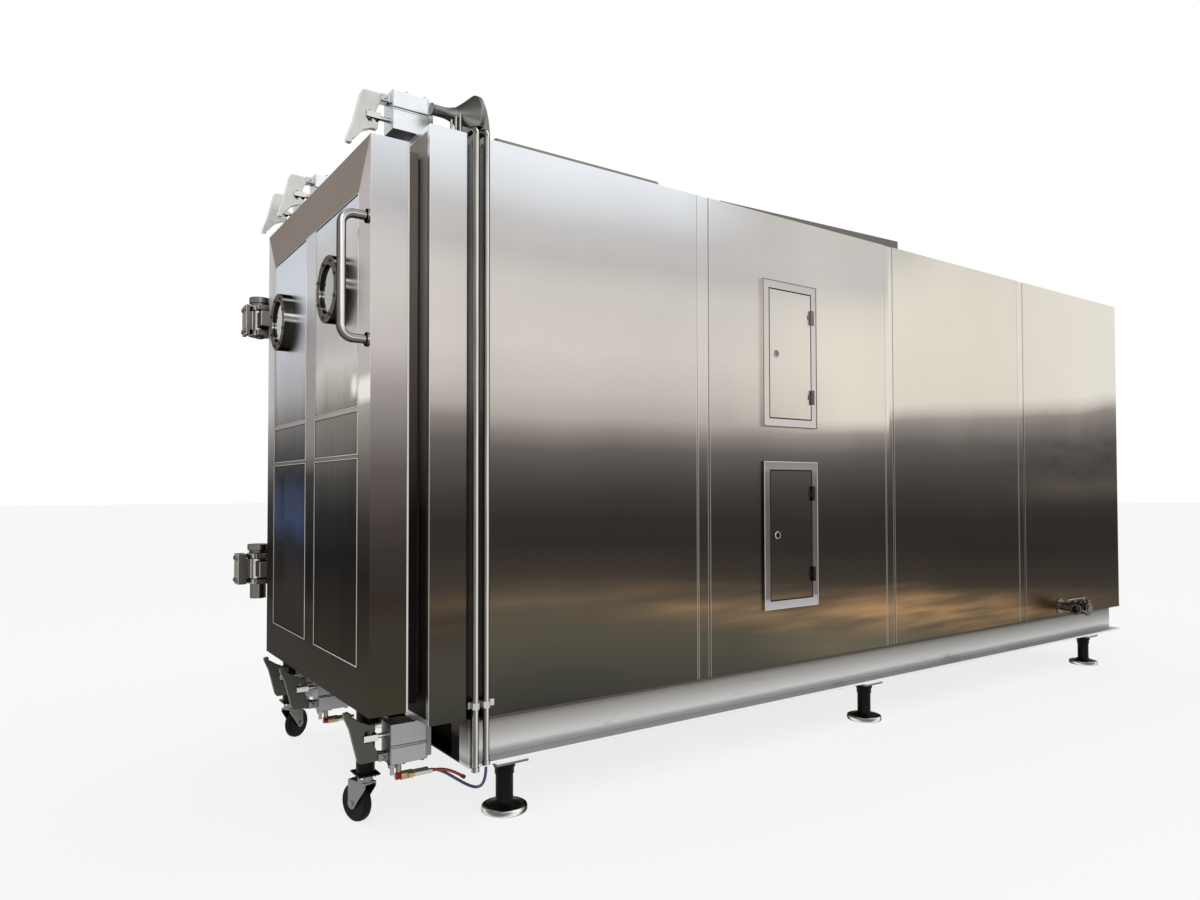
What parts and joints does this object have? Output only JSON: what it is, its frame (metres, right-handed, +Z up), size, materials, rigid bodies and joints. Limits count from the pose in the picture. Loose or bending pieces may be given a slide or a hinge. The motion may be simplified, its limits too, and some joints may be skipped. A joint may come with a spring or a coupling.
{
  "type": "industrial vacuum freeze dryer",
  "caption": "Long clad vacuum freeze-drying chamber on a levelled steel base, with a side-hinged clamped door on casters, two sight glasses and side hatches.",
  "frame": {"origin": "on the floor, under the middle of the machine's overall length and width", "axes": "+Z up; the chamber runs along Y with the door at the low end and the vacuum nozzle at the high end; the access hatches are on the +X side"},
  "size_m": [2.012, 6.115, 2.909],
  "materials": {
    "clad_steel": "fine brushed sheet",
    "door_steel": "fine brushed sheet, slightly darker",
    "strip_steel": "bright folded strip",
    "beam_steel": "satin steel sections",
    "vessel_steel": "pickled plate",
    "shelf_steel": "ground plate",
    "bead_blasted_steel": "bead blasted",
    "polished_steel": "polished",
    "zinc_steel": "zinc plated pressing",
    "black_steel": "satin black coating",
    "cast_grey": "satin grey coating",
    "anodised_block": "clear anodised",
    "fitting_brass": "turned brass",
    "hose_blue": "smooth tube",
    "hose_red": "smooth tube",
    "gasket_rubber": "moulded rubber",
    "caster_tyre": "solid rubber",
    "sight_glass": "thick toughened glass",
    "lagging": "rigid foam board"
  },
  "bodies": {
    "machine": {"base_frame": "beam_steel", "levelling_feet": "black_steel", "chamber_shell": "vessel_steel", "shell_ribs": "vessel_steel", "insulation": "lagging", "front_flange": "vessel_steel", "collar_skin": "clad_steel", "side_panels_right": "clad_steel", "side_panels_left": "clad_steel", "roof_panels": "clad_steel", "rear_panel": "clad_steel", "panel_battens": "strip_steel", "shelf_rack": "vessel_steel", "shelves": "shelf_steel", "trays": "shelf_steel", "condenser_coils": "vessel_steel", "hinge_brackets": "bead_blasted_steel", "hinge_pins": "cast_grey", "clamp_cylinders": "anodised_block", "riser_pipes": "polished_steel", "pipe_straps": "clad_steel", "air_manifold": "cast_grey", "hose_fittings": "fitting_brass", "blue_hose": "hose_blue", "red_hose": "hose_red", "red_hose_plug": "cast_grey", "roof_ducts": "cast_grey", "hatch_frames": "strip_steel", "drain_valve": "polished_steel"},
    "door": {"door_skin": "door_steel", "door_infills": "door_steel", "door_plate": "beam_steel", "door_liner": "vessel_steel", "door_gasket": "gasket_rubber", "door_handle": "polished_steel", "sight_glass_rings": "polished_steel", "sight_glass_panes": "sight_glass", "hinge_arms": "bead_blasted_steel", "caster_posts": "black_steel"},
    "caster_fork_near": {"caster_fork_near": "zinc_steel"},
    "caster_fork_far": {"caster_fork_far": "zinc_steel"},
    "caster_wheel_near": {"caster_wheel_near": "caster_tyre"},
    "caster_wheel_far": {"caster_wheel_far": "caster_tyre"},
    "hatch_door_upper": {"hatch_door_upper": "clad_steel"},
    "hatch_door_lower": {"hatch_door_lower": "clad_steel"},
    "hatch_lock_upper": {"hatch_lock_upper": "black_steel"},
    "hatch_lock_lower": {"hatch_lock_lower": "black_steel"},
    "drain_valve_lever": {"drain_valve_lever": "polished_steel"},
    "clamp_lever_top_near": {"clamp_lever_top_near": "bead_blasted_steel"},
    "clamp_rod_top_near": {"clamp_rod_top_near": "polished_steel"},
    "clamp_lever_top_mid": {"clamp_lever_top_mid": "bead_blasted_steel"},
    "clamp_rod_top_mid": {"clamp_rod_top_mid": "polished_steel"},
    "clamp_lever_top_far": {"clamp_lever_top_far": "bead_blasted_steel"},
    "clamp_rod_top_far": {"clamp_rod_top_far": "polished_steel"},
    "clamp_lever_bottom_near": {"clamp_lever_bottom_near": "cast_grey"},
    "clamp_rod_bottom_near": {"clamp_rod_bottom_near": "polished_steel"},
    "clamp_lever_bottom_mid": {"clamp_lever_bottom_mid": "cast_grey"},
    "clamp_rod_bottom_mid": {"clamp_rod_bottom_mid": "polished_steel"},
    "clamp_lever_bottom_far": {"clamp_lever_bottom_far": "cast_grey"},
    "clamp_rod_bottom_far": {"clamp_rod_bottom_far": "polished_steel"}
  },
  "joints": [
    {"name": "door_swing", "type": "hinge", "parent": "machine", "child": "door", "pos_m": [-0.948, -2.9465, 1.5], "axis": [0, 0, -1], "range_deg": [0, 110]},
    {"name": "caster_swivel_near", "type": "hinge", "parent": "door", "child": "caster_fork_near", "pos_m": [0.532, -2.8665, 0.18], "axis": [0, 0, 1], "continuous": true},
    {"name": "wheel_spin_near", "type": "hinge", "parent": "caster_fork_near", "child": "caster_wheel_near", "pos_m": [0.48283, -2.88343, 0.075], "axis": [0.3256, -0.9455, 0], "continuous": true},
    {"name": "caster_swivel_far", "type": "hinge", "parent": "door", "child": "caster_fork_far", "pos_m": [-0.773, -2.8215, 0.18], "axis": [0, 0, 1], "continuous": true},
    {"name": "wheel_spin_far", "type": "hinge", "parent": "caster_fork_far", "child": "caster_wheel_far", "pos_m": [-0.80429, -2.77997, 0.075], "axis": [-0.7986, -0.6018, 0], "continuous": true},
    {"name": "clamp_turn_top_near", "type": "hinge", "parent": "machine", "child": "clamp_lever_top_near", "pos_m": [0.602, -2.8315, 2.855], "axis": [1, 0, 0], "range_deg": [-15, 7.3]},
    {"name": "rod_slide_top_near", "type": "slide", "parent": "machine", "child": "clamp_rod_top_near", "axis": [0, 1, 0], "range_m": [-0.0198, 0.0097]},
    {"name": "clamp_turn_top_mid", "type": "hinge", "parent": "machine", "child": "clamp_lever_top_mid", "pos_m": [-0.453, -2.8315, 2.855], "axis": [1, 0, 0], "range_deg": [-15, 7.3]},
    {"name": "rod_slide_top_mid", "type": "slide", "parent": "machine", "child": "clamp_rod_top_mid", "axis": [0, 1, 0], "range_m": [-0.0198, 0.0097]},
    {"name": "clamp_turn_top_far", "type": "hinge", "parent": "machine", "child": "clamp_lever_top_far", "pos_m": [-0.773, -2.8315, 2.855], "axis": [1, 0, 0], "range_deg": [-15, 7.3]},
    {"name": "rod_slide_top_far", "type": "slide", "parent": "machine", "child": "clamp_rod_top_far", "axis": [0, 1, 0], "range_m": [-0.0198, 0.0097]},
    {"name": "clamp_turn_bottom_near", "type": "hinge", "parent": "machine", "child": "clamp_lever_bottom_near", "pos_m": [0.602, -2.8315, 0.275], "axis": [-1, 0, 0], "range_deg": [-15, 7.3]},
    {"name": "rod_slide_bottom_near", "type": "slide", "parent": "machine", "child": "clamp_rod_bottom_near", "axis": [0, 1, 0], "range_m": [-0.0198, 0.0097]},
    {"name": "clamp_turn_bottom_mid", "type": "hinge", "parent": "machine", "child": "clamp_lever_bottom_mid", "pos_m": [-0.348, -2.8315, 0.275], "axis": [-1, 0, 0], "range_deg": [-15, 7.3]},
    {"name": "rod_slide_bottom_mid", "type": "slide", "parent": "machine", "child": "clamp_rod_bottom_mid", "axis": [0, 1, 0], "range_m": [-0.0198, 0.0097]},
    {"name": "clamp_turn_bottom_far", "type": "hinge", "parent": "machine", "child": "clamp_lever_bottom_far", "pos_m": [-0.668, -2.8315, 0.275], "axis": [-1, 0, 0], "range_deg": [-15, 7.3]},
    {"name": "rod_slide_bottom_far", "type": "slide", "parent": "machine", "child": "clamp_rod_bottom_far", "axis": [0, 1, 0], "range_m": [-0.0198, 0.0097]},
    {"name": "hatch_swing_upper", "type": "hinge", "parent": "machine", "child": "hatch_door_upper", "pos_m": [0.8215, -0.5765, 2.002], "axis": [0, 0, 1], "range_deg": [0, 110]},
    {"name": "hatch_lock_turn_upper", "type": "hinge", "parent": "hatch_door_upper", "child": "hatch_lock_upper", "pos_m": [0.807, -0.8375, 2.002], "axis": [1, 0, 0], "range_deg": [0, 90]},
    {"name": "hatch_swing_lower", "type": "hinge", "parent": "machine", "child": "hatch_door_lower", "pos_m": [0.8215, -0.5765, 1.075], "axis": [0, 0, 1], "range_deg": [0, 110]},
    {"name": "hatch_lock_turn_lower", "type": "hinge", "parent": "hatch_door_lower", "child": "hatch_lock_lower", "pos_m": [0.807, -0.8375, 1.075], "axis": [1, 0, 0], "range_deg": [0, 90]},
    {"name": "drain_lever_turn", "type": "hinge", "parent": "machine", "child": "drain_valve_lever", "pos_m": [0.947, 2.0335, 0.55], "axis": [0, 0, 1], "range_deg": [0, 90]}
  ],
  "couplings": [
    {"joint": "rod_slide_top_near", "follows": "clamp_turn_top_near", "m_per_rad": 0.075},
    {"joint": "clamp_turn_top_mid", "follows": "clamp_turn_top_near", "ratio": 1},
    {"joint": "rod_slide_top_mid", "follows": "clamp_turn_top_near", "m_per_rad": 0.075},
    {"joint": "clamp_turn_top_far", "follows": "clamp_turn_top_near", "ratio": 1},
    {"joint": "rod_slide_top_far", "follows": "clamp_turn_top_near", "m_per_rad": 0.075},
    {"joint": "clamp_turn_bottom_near", "follows": "clamp_turn_top_near", "ratio": 1},
    {"joint": "rod_slide_bottom_near", "follows": "clamp_turn_top_near", "m_per_rad": 0.075},
    {"joint": "clamp_turn_bottom_mid", "follows": "clamp_turn_top_near", "ratio": 1},
    {"joint": "rod_slide_bottom_mid", "follows": "clamp_turn_top_near", "m_per_rad": 0.075},
    {"joint": "clamp_turn_bottom_far", "follows": "clamp_turn_top_near", "ratio": 1},
    {"joint": "rod_slide_bottom_far", "follows": "clamp_turn_top_near", "m_per_rad": 0.075}
  ]
}
